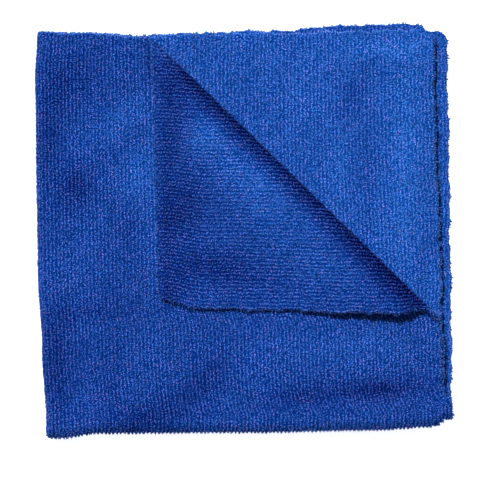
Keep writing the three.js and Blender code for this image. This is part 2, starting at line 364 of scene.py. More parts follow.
# A cut goes through a point that already lies this near to it. The tiny length only keeps a
# division away from zero.
SNAP = 0.1
TINY = 1e-9


def grid_lines(arc):
    """Places grid lines: close round a fold, even over the flat, and inside the corners."""
    bend = np.linspace(-arc, arc, BEND_STEPS + 1)
    flat = np.linspace(arc, INNER, round((INNER - arc) / GRID) + 1)[1:]
    corner = np.linspace(INNER, HALF, CORNER_STEPS + 1)[1:]
    outer = np.concatenate([flat, corner])
    return np.concatenate([-outer[::-1], bend, outer])


def past_inner(across, along):
    """How far points lie past the lines where the corners' rounding begins."""
    return np.maximum(0, np.abs(across) - INNER), np.maximum(0, np.abs(along) - INNER)


def round_corner(across, along):
    """Pulls the points of each corner's square in to its rounded outline."""
    past_x, past_y = past_inner(across, along)
    reach = np.hypot(past_x, past_y)
    shrink = np.where(reach > 0, np.maximum(past_x, past_y) / np.maximum(reach, TINY), 1)
    across = np.sign(across) * (np.minimum(np.abs(across), INNER) + past_x * shrink)
    along = np.sign(along) * (np.minimum(np.abs(along), INNER) + past_y * shrink)
    return across, along


def turn_creases():
    """Distances past the start of the turn at which the sheet is cut."""
    cuts = [0.0]
    start = 0.0
    for (length, turn), steps in zip(SECTION, CREASE_STEPS):
        cuts += [start + length * step / steps for step in range(1, steps + 1)]
        start += length
    return cuts


def flat_sheet():
    """Makes the flat mesh. While it is cut, a point's X is its distance past the turn."""
    columns, rows = grid_lines(LEFT_ARC), grid_lines(BOTTOM_ARC)
    across, along = (a.ravel() for a in np.meshgrid(columns, rows))
    across, along = round_corner(across, along)
    distance = beyond_turn(lay_out(across, along))
    mesh = bmesh.new()
    points = [mesh.verts.new(p) for p in zip(distance, across, along)]
    wide = len(columns)
    for row in range(len(rows) - 1):
        for column in range(wide - 1):
            corner = row * wide + column
            corners = (corner, corner + 1, corner + wide + 1, corner + wide)
            mesh.faces.new([points[c] for c in corners])
    for cut in turn_creases():
        every = mesh.verts[:] + mesh.edges[:] + mesh.faces[:]
        bmesh.ops.bisect_plane(
            mesh, geom=every, dist=SNAP, plane_co=(cut, 0, 0), plane_no=(1, 0, 0)
        )
    bmesh.ops.triangulate(mesh, faces=mesh.faces[:])
    mesh.verts.index_update()
    flat = np.array([(v.co.y, v.co.z) for v in mesh.verts])
    triangles = np.array([[v.index for v in face.verts] for face in mesh.faces])
    rim = []
    for edge in mesh.edges:
        if len(edge.link_faces) == 1:
            loop = edge.link_loops[0]
            rim.append((loop.vert.index, loop.link_loop_next.vert.index))
    mesh.free()
    first, second, third = (flat[triangles[:, i]] for i in range(3))
    area = np.cross(second - first, third - first)
    total = round(float(np.abs(area).sum() / 2))
    print("flat mesh:", len(flat), "points,", len(triangles), "triangles,", total, "mm2")
    if area.sum() < 0:
        triangles = triangles[:, ::-1]
        rim = [(b, a) for a, b in rim]
    return flat, triangles, rim


FLAT, TRIANGLES, RIM = flat_sheet()

# %% [markdown]
# The middle of the CAD solid's outline lies over the origin, so the folded points are moved by
# the same amount. That amount is measured from the full thickness of the sheet, without the
# small waves, which the solid doesn't have.

# %% Where the folded cloth stands


def outline_shift():
    """Finds the move that brings the outline's middle over the origin, and the sheet down to 0."""
    across, along = FLAT.T
    whole = np.concatenate(
        [fold(across, along, side * HALF_THICKNESS, wavy=0.0) for side in (1, -1)]
    )
    low, high = whole.min(0), whole.max(0)
    return np.array([-(low[0] + high[0]) / 2, -(low[1] + high[1]) / 2, -low[2]])


SHIFT = outline_shift()
print("shift in mm:", SHIFT.round(3))


def place(across, along, offset):
    """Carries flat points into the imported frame, in metres."""
    return (fold(across, along, offset) + SHIFT) * MM


# %% [markdown]
# The flat mesh goes through the folds twice, once for each face, and a rim that bulges a little
# joins the two. A Solidify modifier could thicken it as well, but the face that rests on the
# floor has no pile, so it needs more thickness than the others. The flat places are kept as a
# UV map, so that the stitches follow the cloth round its folds.

# %% The closed sheet
# The bend angles over which the bottom fold goes over into the underside.
UNDERSIDE = (2.3, 3.1)


def ground_offset(across, along, side):
    """Half the ground's thickness. Under the stack, where no pile shows, it is the full half."""
    plan = lay_out(across, along)
    round_bottom = ease_between(plan["bottom_angle"], *UNDERSIDE)
    under = round_bottom * ease_between(across, -LEFT_ARC, 0)
    thick = GROUND + (HALF_THICKNESS - GROUND) * (under if side > 0 else 0)
    return side * thick


def ground_mesh():
    """Gives the flat mesh its thickness and carries it through the folds."""
    across, along = FLAT.T
    count = len(FLAT)
    upper = place(across, along, ground_offset(across, along, 1))
    lower = place(across, along, ground_offset(across, along, -1))
    away = np.zeros_like(FLAT)
    for start, end in RIM:
        step = FLAT[end] - FLAT[start]
        out = np.array([step[1], -step[0]]) / np.linalg.norm(step)
        away[start] += out
        away[end] += out
    edge = [start for start, end in RIM]
    number = {vertex: 2 * count + i for i, vertex in enumerate(edge)}
    out = away[edge] / np.linalg.norm(away[edge], axis=1)[:, None]
    grown = FLAT[edge] + out * EDGE_BULGE
    middle = place(*grown.T, 0.0)
    faces = [tuple(t) for t in TRIANGLES.tolist()]
    faces += [tuple(v + count for v in reversed(t)) for t in TRIANGLES.tolist()]
    for start, end in RIM:
        faces.append((end, start, number[start], number[end]))
        faces.append((number[end], number[start], start + count, end + count))
    mesh = bpy.data.meshes.new("cloth_ground")
    mesh.from_pydata(np.concatenate([upper, lower, middle]).tolist(), [], faces)
    flat = np.concatenate([FLAT, FLAT, grown]) * MM + HALF * MM
    loops = np.zeros(len(mesh.loops), int)
    mesh.loops.foreach_get("vertex_index", loops)
    layer = mesh.uv_layers.new(name="Flat_sheet")
    layer.data.foreach_set("uv", flat[loops].ravel())
    mesh.polygons.foreach_set("use_smooth", [True] * len(mesh.polygons))
    mesh.update()
    return mesh


ground = bpy.data.objects.new("cloth_ground", ground_mesh())
bpy.context.collection.objects.link(ground)
print("ground:", len(ground.data.polygons), "faces")

# %% [markdown]
# ## Painted light and shade on the pile
#
# Light and shade on the folded pile are painted into its colour. Each layer has a base of painted
# light, a few soft patches of painted light and shade lie over it, and where the turned corner
# bends over, a band of painted shade lies along the fold, which fades out at both ends. Modelling
# every loop and the light between them would take a fibre simulation, so one function gives this
# painted light and shade for any point instead, from the base for each layer and a few soft
# patches. The meshes keep it as an attribute.

# %% Painted light and shade on the pile
# Soft patches of painted light and shade: (x, y, angle in degrees, half length, half width, change
# of shade).
TOP_PAINTED_LIGHT = [
    (-85, 74, 40, 16, 12, -0.34),
    (-96, 46, 88, 26, 6, -0.29),
    (-83, 22, 80, 11, 8, -0.44),
    (-60, 56, 35, 20, 8, 0.42),
    (-53, 28, 80, 16, 9, 0.49),
    (-56, 4, 60, 8, 5, -0.23),
    (-82, -12, 60, 16, 10, 0.16),
    (-76, -39, 3, 26, 4, -0.21),
    (-92, -62, 88, 26, 8, -0.39),
    (-66, -72, 88, 18, 6, -0.16),
    (-46, -90, 25, 20, 7, -0.47),
    (-18, -72, 60, 16, 8, -0.31),
    (28, -80, 4, 18, 5, -0.34),
    (66, -77, 4, 22, 5, -0.55),
    (52, -56, 4, 46, 10, 0.29),
    (-46.5, 82, 90, 12, 1.4, -0.45),
    (-45, 14, 90, 60, 4.5, 0.24),
]
CORNER_PAINTED_LIGHT = [
    (-36, 68, -60, 16, 7, -0.41),
    (-34, 46, 90, 16, 7, -0.34),
    (-20, 47, 40, 9, 6, 0.43),
    (-30, 12, 70, 16, 9, -0.50),
    (-38, 8, 90, 60, 3.5, -0.24),
    (-10, -18, -14, 26, 8, -0.41),
    (-34, -28, 60, 14, 8, -0.36),
    (4, 26, -45, 46, 15, 0.55),
    (38, -18, -12, 22, 8, 0.19),
    (72, -24, -40, 22, 8, -0.34),
]
SECOND_PAINTED_LIGHT = [
    (72, 90, 5, 28, 6, 0.45),
    (64, 84, 40, 5, 4, -0.33),
    (52, 66, 70, 16, 7, -0.39),
    (79, 34, 88, 44, 7, 0.36),
    (60, 30, 90, 36, 5, -0.21),
    (46, 36, 90, 30, 4, 0.18),
    (6, 62, -44, 40, 12, -0.12),
    (88, -14, 80, 20, 5, -0.15),
]
# Painted light for each layer: the other layers are painted lighter than the top layer.
LAYER_PAINTED_LIGHT = {"top": 1.0, "upper": 1.46, "lower": 1.35, "bottom": 1.45}

# The band of painted shade along the diagonal fold: its shade, its width, and the distances along
# the fold over which it sets in and fades out.
FOLD_PAINTED_SHADE = 0.2
FOLD_SHADE_WIDTH = 14.0
FOLD_SHADE_START = (2.0, 30.0)
FOLD_SHADE_END = (186.0, 193.0)


def painted_light_and_shade(points, across, along, side):
    """Gives the painted light and shade of the pile at folded points: 1 is the plain top layer."""
    plan = lay_out(across, along)
    x, y = points[:, 0], points[:, 1]
    shade = np.ones(len(across))
    for name, value in LAYER_PAINTED_LIGHT.items():
        shade[plan["layer"] == name] = value
    turned = beyond_turn(plan) > 0
    second = (plan["layer"] == "upper") & (side < 0)
    top = (plan["layer"] == "top") & ~turned
    for mask, patches in [
        (top, TOP_PAINTED_LIGHT),
        (turned, CORNER_PAINTED_LIGHT),
        (second, SECOND_PAINTED_LIGHT),
    ]:
        shade[mask] += swell_height(patches, x[mask], y[mask])
    # A band of painted shade lies on the turned corner along the diagonal fold, fading in and out
    # along it.
    away = points[:, :2] - TURN_START
    begun = ease_between(away @ TURN_LINE, *FOLD_SHADE_START)
    ended = ease_between(away @ TURN_LINE, *FOLD_SHADE_END)
    shade_on_fold = 1 - (1 - FOLD_PAINTED_SHADE) * begun * (1 - ended)
    fold_shade = shade_on_fold + (1 - shade_on_fold) * ease_between(-away @ TURN_OUT, 0, FOLD_SHADE_WIDTH)
    shade[turned] *= fold_shade[turned]
    return shade


def store_ground_painted_light():
    """Keeps the painted light and shade on every point of the ground, for its material."""
    places = np.zeros(3 * len(ground.data.vertices))
    ground.data.vertices.foreach_get("co", places)
    places = places.reshape(-1, 3) / MM - SHIFT
    count = len(FLAT)
    edge = [start for start, end in RIM]
    shade = np.concatenate(
        [
            painted_light_and_shade(places[:count], *FLAT.T, 1),
            painted_light_and_shade(places[count : 2 * count], *FLAT.T, -1),
            painted_light_and_shade(places[2 * count :], *FLAT[edge].T, 1),
        ]
    )
    painted_light_layer = ground.data.attributes.new("painted_light_and_shade", "FLOAT", "POINT")
    painted_light_layer.data.foreach_set("value", shade)
    print("shade from", round(float(shade.min()), 2), "to", round(float(shade.max()), 2))


store_ground_painted_light()

# %% [markdown]
# ## The rows that the pile stands in
#
# Warp knitting makes the loops in rows, called wales, that run the length of the cloth on both
# faces. Each wale becomes a chain of edges on the folded ground, and each of its points carries
# the direction that its loops stand up in. Only the parts that can be seen get loops: what lies
# pressed between two layers stays bare.

# %% Wales
WALE = 1.9
SAMPLE = 0.8

# A stretch of fewer points than this gets no loops.
FEWEST_POINTS = 4


def inside_outline(across, along, margin=0.4):
    """Says which flat points lie inside the cut edge and its corners, by a small margin."""
    return np.hypot(*past_inner(across, along)) <= CORNER - margin


def stretches(wanted):
    """Splits a row of points into the unbroken stretches that are wanted."""
    breaks = np.flatnonzero(np.diff(wanted.astype(int))) + 1
    runs = np.split(np.arange(len(wanted)), breaks)
    return [run for run in runs if len(run) >= FEWEST_POINTS and wanted[run[0]]]


def wale_chains(lines, start, end, side, keep):
    """Makes chains along the cloth at the given places across it, where keep says so."""
    chains = []
    for number, line in enumerate(lines):
        count = round((end - start) / SAMPLE)
        # Every other wale starts half a step later, so that loops don't line up across.
        along = np.linspace(start + 0.5 * SAMPLE * (number % 2), end, count)
        across = np.full(count, float(line))
        outside = fold(across, along, side * GROUND)
        inside = fold(across, along, 0.0)
        wanted = keep(outside, across, along) & inside_outline(across, along)
        up = outside - inside
        up /= np.linalg.norm(up, axis=1)[:, None]
        for run in stretches(wanted):
            # Each point carries the painted light and shade of its place.
            shade = painted_light_and_shade(outside[run], across[run], along[run], side)
            chains.append(((outside[run] + SHIFT) * MM, up[run], shade))
    return chains


def chain_object(name, chains):
    """Makes a mesh of edges from the chains, with the standing direction on its points."""
    mesh = bpy.data.meshes.new(name)
    points, directions, shades = (np.concatenate(part) for part in zip(*chains))
    edges = []
    first = 0
    for places, up, shade in chains:
        edges += [(first + i, first + i + 1) for i in range(len(places) - 1)]
        first += len(places)
    mesh.from_pydata(points.tolist(), edges, [])
    standing = mesh.attributes.new("standing", "FLOAT_VECTOR", "POINT")
    standing.data.foreach_set("vector", directions.ravel())
    # The painted light and shade goes on the points as well.
    painted_light_layer = mesh.attributes.new("painted_light_and_shade", "FLOAT", "POINT")
    painted_light_layer.data.foreach_set("value", shades)
    obj = bpy.data.objects.new(name, mesh)
    bpy.context.collection.objects.link(obj)
    return obj


print("wales over the whole width:", round(SIDE / WALE))

# %% [markdown]
# ## One tree for all the pile
#
# The loops repeat tens of thousands of times, so Geometry Nodes set them. Hair would be quicker
# to comb, but it has no faces to export, and loops are arches and not ends. The tree is built
# from the arch of one loop, the spots where loops stand, their lean and their uneven sizes.
#
# A loop is an arch of soft yarn that spans along its wale. It is made once, from an arc and a
# three-sided section. Because a loop shows only as a speck, fourteen triangles are enough. Each
# of its points keeps its share of the height, which the material reads as root or crown.

# %% The arch of one loop


def one_loop(tree, given):
    """Makes the arch and stores how near each point is to its crown."""
    arc = add_node(
        tree,
        "GeometryNodeCurveArc",
        {"Resolution": 3, "Radius": 1.0, "Start Angle": 0.0, "Sweep Angle": math.pi},
        mode="RADIUS",
    )
    half_span = add_node(
        tree, "ShaderNodeMath", {0: given["Loop Span"], 1: 0.5}, operation="MULTIPLY"
    )
    size = add_node(
        tree, "ShaderNodeCombineXYZ", {"X": half_span, "Y": 1.0, "Z": given["Loop Height"]}
    )
    upright = add_node(
        tree, "GeometryNodeTransform", {"Geometry": arc, "Rotation": (math.pi / 2, 0, 0)}
    )
    sized = add_node(tree, "GeometryNodeTransform", {"Geometry": upright, "Scale": size})
    section = add_node(
        tree,
        "GeometryNodeCurvePrimitiveCircle",
        {"Resolution": 3, "Radius": given["Yarn Radius"]},
        mode="RADIUS",
    )
    arch = add_node(
        tree,
        "GeometryNodeCurveToMesh",
        {"Curve": sized, "Profile Curve": section, "Fill Caps": True},
    )
    where = add_node(tree, "GeometryNodeInputPosition")
    height = add_node(tree, "ShaderNodeSeparateXYZ", {0: where})
    share = add_node(
        tree,
        "ShaderNodeMath",
        {0: result(height, "Z"), 1: given["Loop Height"]},
        operation="DIVIDE",
    )
    crown = add_node(
        tree,
        "GeometryNodeStoreNamedAttribute",
        {"Geometry": arch, "Name": "crown", "Value": share},
        data_type="FLOAT",
        domain="POINT",
    )
    return add_node(tree, "GeometryNodeSetShadeSmooth", {"Geometry": crown})


# %% [markdown]
# Loops stand at even steps along every wale, and each then strays a little along the wale and
# across it, because brushing pulls no two alike. A loop stands up in the direction that its
# wale keeps for it, spans along the wale, and then leans and twists by chance.

# %% The spots where loops stand


def loop_spots(tree, given, seed):
    """Gives the strayed points on the wales, and how a loop that hasn't leant stands there."""
    wales = add_node(tree, "GeometryNodeMeshToCurve", {"Mesh": given["Wales"]})
    steps = add_node(
        tree,
        "GeometryNodeResampleCurve",
        {"Curve": wales, "Length": given["Loop Spacing"]},
        mode="LENGTH",
    )
    back = add_node(
        tree, "ShaderNodeMath", {0: given["Wander"], 1: -1.0}, operation="MULTIPLY"
    )
    near = add_node(tree, "ShaderNodeCombineXYZ", {"X": back, "Y": back, "Z": 0.0})
    far = add_node(
        tree, "ShaderNodeCombineXYZ", {"X": given["Wander"], "Y": given["Wander"], "Z": 0.0}
    )
    stray = add_node(
        tree,
        "FunctionNodeRandomValue",
        {"Min": near, "Max": far, "Seed": seed},
        data_type="FLOAT_VECTOR",
    )
    standing = add_node(
        tree, "GeometryNodeInputNamedAttribute", {"Name": "standing"}, data_type="FLOAT_VECTOR"
    )
    upward = add_node(
        tree, "FunctionNodeAlignRotationToVector", {"Vector": standing}, axis="Z"
    )
    tangent = add_node(tree, "GeometryNodeInputTangent")
    along = add_node(
        tree,
        "FunctionNodeAlignRotationToVector",
        {"Rotation": upward, "Vector": tangent},
        axis="X",
        pivot_axis="Z",
    )
    moved = add_node(tree, "FunctionNodeRotateVector", {"Vector": stray, "Rotation": along})
    spots = add_node(tree, "GeometryNodeSetPosition", {"Geometry": steps, "Offset": moved})
    return spots, along


def leant_over(tree, given, along, seed):
    """Leans and twists each loop at random, up to the angles given."""
    most = add_node(
        tree,
        "ShaderNodeCombineXYZ",
        {"X": given["Lean"], "Y": given["Lean"], "Z": given["Twist"]},
    )
    least = add_node(
        tree, "ShaderNodeVectorMath", {0: most, 1: (-1.0, -1.0, -1.0)}, operation="MULTIPLY"
    )
    turn = add_node(
        tree,
        "FunctionNodeRandomValue",
        {"Min": least, "Max": most, "Seed": seed},
        data_type="FLOAT_VECTOR",
    )
    tilt = add_node(tree, "FunctionNodeEulerToRotation", {0: turn})
    return add_node(
        tree,
        "FunctionNodeRotateRotation",
        {"Rotation": along, "Rotate By": tilt},
        rotation_space="LOCAL",
    )


# %% [markdown]
# Yarn is pulled more in one loop than in the next, so every loop has its own size. Neighbours
# also clump: a slow noise makes them taller or shorter together, as tufts.

# %% The uneven sizes of the loops
TUFT_SIZE = 3.2
SMALLEST_LOOP = (0.75, 0.75, 0.65)
LARGEST_LOOP = (1.3, 1.2, 1.25)


def loop_size(tree, given, seed):
    """Gives each loop a random size, and makes it taller or shorter with its tuft."""
    scale = add_node(
        tree,
        "FunctionNodeRandomValue",
        {"Min": SMALLEST_LOOP, "Max": LARGEST_LOOP, "Seed": seed},
        data_type="FLOAT_VECTOR",
    )
    where = add_node(tree, "GeometryNodeInputPosition")
    clumps = add_node(
        tree,
        "ShaderNodeTexNoise",
        {"Vector": where, "Scale": 1 / (TUFT_SIZE * MM), "Detail": 1.0},
    )
    shortest = add_node(
        tree, "ShaderNodeMath", {0: 1.0, 1: given["Tuft"]}, operation="SUBTRACT"
    )
    tallest = add_node(tree, "ShaderNodeMath", {0: 1.0, 1: given["Tuft"]}, operation="ADD")
    tuft = add_node(
        tree,
        "ShaderNodeMapRange",
        {
            "Value": clumps,
            "From Min": 0.3,
            "From Max": 0.7,
            "To Min": shortest,
            "To Max": tallest,
        },
    )
    stretch = add_node(tree, "ShaderNodeCombineXYZ", {"X": 1.0, "Y": 1.0, "Z": tuft})
    return add_node(
        tree, "ShaderNodeVectorMath", {0: scale, 1: stretch}, operation="MULTIPLY"
    )


# %% [markdown]
# The whole tree puts a loop on every spot and stores a random number with each, which the
# material turns into its hue and brightness. Every instance is made real at the end, because
# the export drops instances.

# %% The pile tree


def pile_tree():
    """Builds the node group that sets loops along wales."""
    tree = bpy.data.node_groups.new("Pile_on_wales", "GeometryNodeTree")
    sockets = tree.interface
    sockets.new_socket("Wales", in_out="INPUT", socket_type="NodeSocketGeometry")
    for name, kind in [
        ("Loop Spacing", "Float"),
        ("Loop Span", "Float"),
        ("Loop Height", "Float"),
        ("Yarn Radius", "Float"),
        ("Wander", "Float"),
        ("Lean", "Float"),
        ("Twist", "Float"),
        ("Tuft", "Float"),
        ("Seed", "Int"),
        ("Material", "Material"),
    ]:
        sockets.new_socket(name, in_out="INPUT", socket_type="NodeSocket" + kind)
    sockets.new_socket("Pile", in_out="OUTPUT", socket_type="NodeSocketGeometry")
    given = add_node(tree, "NodeGroupInput").outputs
    stray_seed, lean_seed, size_seed, tone_seed = (
        add_node(tree, "ShaderNodeMath", {0: given["Seed"], 1: float(i)}, operation="ADD")
        for i in range(4)
    )
    spots, along = loop_spots(tree, given, stray_seed)
    loops = add_node(
        tree,
        "GeometryNodeInstanceOnPoints",
        {
            "Points": spots,
            "Instance": one_loop(tree, given),
            "Rotation": leant_over(tree, given, along, lean_seed),
            "Scale": loop_size(tree, given, size_seed),
        },
    )
    chance = add_node(
        tree,
        "FunctionNodeRandomValue",
        {"Min": 0.0, "Max": 1.0, "Seed": tone_seed},
        data_type="FLOAT",
    )
    toned = add_node(
        tree,
        "GeometryNodeStoreNamedAttribute",
        {"Geometry": loops, "Name": "tone", "Value": chance},
        data_type="FLOAT",
        domain="INSTANCE",
    )
    real = add_node(tree, "GeometryNodeRealizeInstances", {"Geometry": toned})
    covered = add_node(
        tree, "GeometryNodeSetMaterial", {"Geometry": real, "Material": given["Material"]}
    )
    add_node(tree, "NodeGroupOutput", {"Pile": covered})
    return tree


PILE_TREE = pile_tree()
print("pile tree:", len(PILE_TREE.nodes), "nodes")

# %% [markdown]
# One function runs the tree on a set of wales and keeps the result as a plain mesh, because the
# frame and the export take finished meshes. The yarn of the real pile is finer. Each loop here
# stands for a small bundle, drawn as coarse as it needs to be to show.

# %% Growing the pile as plain meshes
LOOP_SPACING = 0.62
LOOP_SPAN = 0.7
LOOP_HEIGHT = 0.75
YARN_RADIUS = 0.26
WANDER = 0.42
LEAN = math.radians(24)
TWIST = math.radians(90)
TUFT_SHARE = 0.15
PIECES = []


def grow_pile(
    name,
    chains,
    seed,
    material,
    spacing=LOOP_SPACING,
    height=LOOP_HEIGHT,
    wander=WANDER,
    tuft=TUFT_SHARE,
):
    """Runs the tree on the chains and adds the plain mesh to the pieces."""
    carrier = chain_object(name + "_wales", chains)
    modifier = carrier.modifiers.new("Pile", "NODES")
    modifier.node_group = PILE_TREE
    values = {
        "Loop Spacing": spacing * MM,
        "Loop Span": LOOP_SPAN * MM,
        "Loop Height": height * MM,
        "Yarn Radius": YARN_RADIUS * MM,
        "Wander": wander * MM,
        "Lean": LEAN,
        "Twist": TWIST,
        "Tuft": tuft,
        "Seed": seed,
        "Material": material,
    }
    for item in PILE_TREE.interface.items_tree:
        if item.in_out == "INPUT" and item.name in values:
            modifier[item.identifier] = values[item.name]
    evaluated = carrier.evaluated_get(bpy.context.evaluated_depsgraph_get())
    mesh = bpy.data.meshes.new_from_object(evaluated)
    mesh.name = name
    bpy.data.objects.remove(carrier)
    piece = bpy.data.objects.new(name, mesh)
    bpy.context.collection.objects.link(piece)
    PIECES.append(piece)
    print(name, "triangles:", sum(len(p.vertices) - 2 for p in mesh.polygons))


# %% [markdown]
# ## The knit and its colour
#
# Microfibre is split polyester and nylon, dyed royal blue. A loop is painted navy towards its
# root, as painted shade deep in the pile, and stays bright at its crown. Each loop has its own
# shade between a teal and a lilac blue, and its own brightness, and the whole cloth is a little
# patchy, as brushed pile is. The IOR is that of polyester, but split filaments hardly gleam, and a
# white gleam would turn the dark folds grey. So the specular level is close to nothing.
#
# The painted light and shade of the pile scales the colours. Roots fall off faster than crowns,
# and blue falls off least, because light that has bounced between blue fibres has only its blue
# left.

# %% Dyed blues, the painted shade of the roots, and how painted light and shade scale them
PIT_BLUE = colour("#032872")
# The root blue is painted shade deep in the pile.
ROOT_SHADE_BLUE = colour("#052E86")
DEEP_BLUE = colour("#244FA8")
TEAL_BLUE = colour("#387ACE")
ROYAL_BLUE = colour("#4D73D2")
LILAC_BLUE = colour("#6E7CDA")
CROWN_POWER = 0.78
ROOT_POWER = 1.6
BLUE_HOLDS = 0.6


def scaled_by_painted_light(tree, shade, power):
    """Scales a colour by a power of the painted light and shade, and its blue by a weaker one."""
    given = add_node(tree, "ShaderNodeAttribute", attribute_name="painted_light_and_shade")
    strong, weak = (
        add_node(tree, "ShaderNodeMath", {0: result(given, "Fac"), 1: p}, operation="POWER")
        for p in (power, BLUE_HOLDS * power)
    )
    tint = add_node(tree, "ShaderNodeCombineXYZ", {"X": strong, "Y": strong, "Z": weak})
    return add_node(tree, "ShaderNodeVectorMath", {0: shade, 1: tint}, operation="MULTIPLY")


# %% How both materials begin and end


def new_material(name):
    """Makes an empty material and gives it with its tree."""
    material = bpy.data.materials.new(name)
    material.use_nodes = True
    material.node_tree.nodes.clear()
    return material, material.node_tree


def dyed_fibre(tree, shade, normal):
    """Ends a material as dull dyed fibre, with almost no gleam."""
    shader = add_node(
        tree,
        "ShaderNodeBsdfPrincipled",
        {
            "Base Color": shade,
            "Roughness": 0.9,
            "IOR": 1.5,
            "Specular IOR Level": 0.02,
            "Normal": normal,
        },
    )
    add_node(tree, "ShaderNodeOutputMaterial", {"Surface": shader})


# %% [markdown]
# A loop takes its colour from a random hue that drifts slowly over the cloth, from the height in
# the loop, which paints shade towards its root, from the worn patches of brushed pile and from a
# random brightness. Single fibres are under a hundredth of a millimetre wide, far too fine to
# show, so their bump is drawn about a third of a millimetre wide.

# %% The hue and the brightness of a loop
HUE_DRIFT = 4.2
WORN_PATCH = 20.0


def loop_hue(tree, where, tone):
    """Picks a blue for each loop, and drifts the hues of its neighbours with it."""
    drift = add_node(
        tree,
        "ShaderNodeTexNoise",
        {"Vector": where, "Scale": 1 / (HUE_DRIFT * MM), "Detail": 1.0},
    )
    drifted = add_node(
        tree,
        "ShaderNodeMapRange",
        {"Value": drift, "From Min": 0.3, "From Max": 0.7, "To Min": -0.3, "To Max": 0.3},
        clamp=False,
    )
    mixed = add_node(tree, "ShaderNodeMath", {0: tone, 1: drifted}, operation="ADD")
    shades = add_node(tree, "ShaderNodeValToRGB", {"Fac": mixed})
    ramp = shades.color_ramp
    ramp.elements[0].position, ramp.elements[0].color = 0.0, DEEP_BLUE
    ramp.elements[1].position, ramp.elements[1].color = 1.0, LILAC_BLUE
    for position, shade in [(0.3, TEAL_BLUE), (0.6, ROYAL_BLUE), (0.8, ROYAL_BLUE)]:
        ramp.elements.new(position).color = shade
    return result(shades)


def loop_brightness(tree, where, tone):
    """Darkens and lightens loops together in worn patches, and each one by chance."""
    patches = add_node(
        tree,
        "ShaderNodeTexNoise",
        {"Vector": where, "Scale": 1 / (WORN_PATCH * MM), "Detail": 3.0},
    )
    worn = add_node(
        tree,
        "ShaderNodeMapRange",
        {"Value": patches, "From Min": 0.3, "From Max": 0.7, "To Min": 0.84, "To Max": 1.15},
    )
    # The fraction of many times the tone is a second random number.
    shuffled = add_node(tree, "ShaderNodeMath", {0: tone, 1: 37.0}, operation="MULTIPLY")
    chance = add_node(tree, "ShaderNodeMath", {0: shuffled}, operation="FRACT")
    bright = add_node(
        tree, "ShaderNodeMapRange", {"Value": chance, "To Min": 0.76, "To Max": 1.21}
    )
    return add_node(tree, "ShaderNodeMath", {0: worn, 1: bright}, operation="MULTIPLY")


# %% The material of the loops
FIBRE = 0.3


def fibre_bump(tree, where):
    """Roughens the loops with fibres. Their normals lean to the way a loop stands, as fuzz."""
    fibres = add_node(
        tree, "ShaderNodeTexNoise", {"Vector": where, "Scale": 1 / (FIBRE * MM), "Detail": 2.0}
    )
    standing = add_node(tree, "ShaderNodeAttribute", attribute_name="standing")
    facing = add_node(tree, "ShaderNodeNewGeometry")
    softened = add_node(
        tree,
        "ShaderNodeMix",
        {"Factor": 0.6, "A": result(facing, "Normal"), "B": result(standing, "Vector")},
        data_type="VECTOR",
    )
    return add_node(
        tree,
        "ShaderNodeBump",
        {"Height": fibres, "Distance": 0.1 * MM, "Strength": 0.5, "Normal": softened},
    )


def microfibre_pile():
    """The standing loops: hue and brightness by loop, and painted shade from crown to root by
    height.
    """
    material, tree = new_material("microfibre_pile")
    where = result(add_node(tree, "ShaderNodeTexCoord"), "Object")
    tone = result(add_node(tree, "ShaderNodeAttribute", attribute_name="tone"), "Fac")
    crown = result(add_node(tree, "ShaderNodeAttribute", attribute_name="crown"), "Fac")
    # Towards its root a loop is painted navy, as shade deep in the pile, and both ends are scaled
    # by the painted light and shade of the pile.
    depth = add_node(
        tree, "ShaderNodeMapRange", {"Value": crown, "From Min": 0.1, "From Max": 0.95}
    )
    rooted = add_node(
        tree,
        "ShaderNodeMix",
        {
            "Factor": depth,
            "A": result(scaled_by_painted_light(tree, ROOT_SHADE_BLUE[:3], ROOT_POWER)),
            "B": result(scaled_by_painted_light(tree, loop_hue(tree, where, tone), CROWN_POWER)),
        },
        data_type="RGBA",
    )
    brightness = loop_brightness(tree, where, tone)
    patchy = add_node(
        tree,
        "ShaderNodeVectorMath",
        {0: result(rooted), "Scale": brightness},
        operation="SCALE",
    )
    dyed_fibre(tree, patchy, fibre_bump(tree, where))
    return material


PILE = microfibre_pile()
print("material of the loops:", PILE.name, len(PILE.node_tree.nodes), "nodes")

# %% [markdown]
# Between the loops the knitted ground shows as dark pits. Its stitches are cells about a
# millimetre apart, lighter in the middle and dark where the yarns dive under each other. They
# follow the flat sheet's UV map, so they run on round the folds.

# %% The material of the ground
STITCH = 1.1


def microfibre_ground():
    """The knitted ground between the loops, with stitches that follow the flat sheet."""
    material, tree = new_material("microfibre_ground")
    flat = add_node(tree, "ShaderNodeUVMap", uv_map="Flat_sheet")
    stitches = add_node(
        tree,
        "ShaderNodeTexVoronoi",
        {"Vector": flat, "Scale": 1 / (STITCH * MM), "Randomness": 0.9},
    )
    shade = add_node(tree, "ShaderNodeValToRGB", {"Fac": result(stitches, "Distance")})
    shade.color_ramp.elements[0].color = DEEP_BLUE
    shade.color_ramp.elements[0].position = 0.1
    shade.color_ramp.elements[1].color = PIT_BLUE
    shade.color_ramp.elements[1].position = 0.55
    bump = add_node(
        tree,
        "ShaderNodeBump",
        {"Height": result(stitches, "Distance"), "Distance": 0.3 * MM, "Strength": 1.0},
        invert=True,
    )
    # The stitches are scaled by the painted light and shade of the pile, as the roots are.
    dyed_fibre(tree, scaled_by_painted_light(tree, result(shade), ROOT_POWER), bump)
    return material


GROUND_KNIT = microfibre_ground()
ground.data.materials.append(GROUND_KNIT)
print("material of the ground:", GROUND_KNIT.name, len(GROUND_KNIT.node_tree.nodes), "nodes")

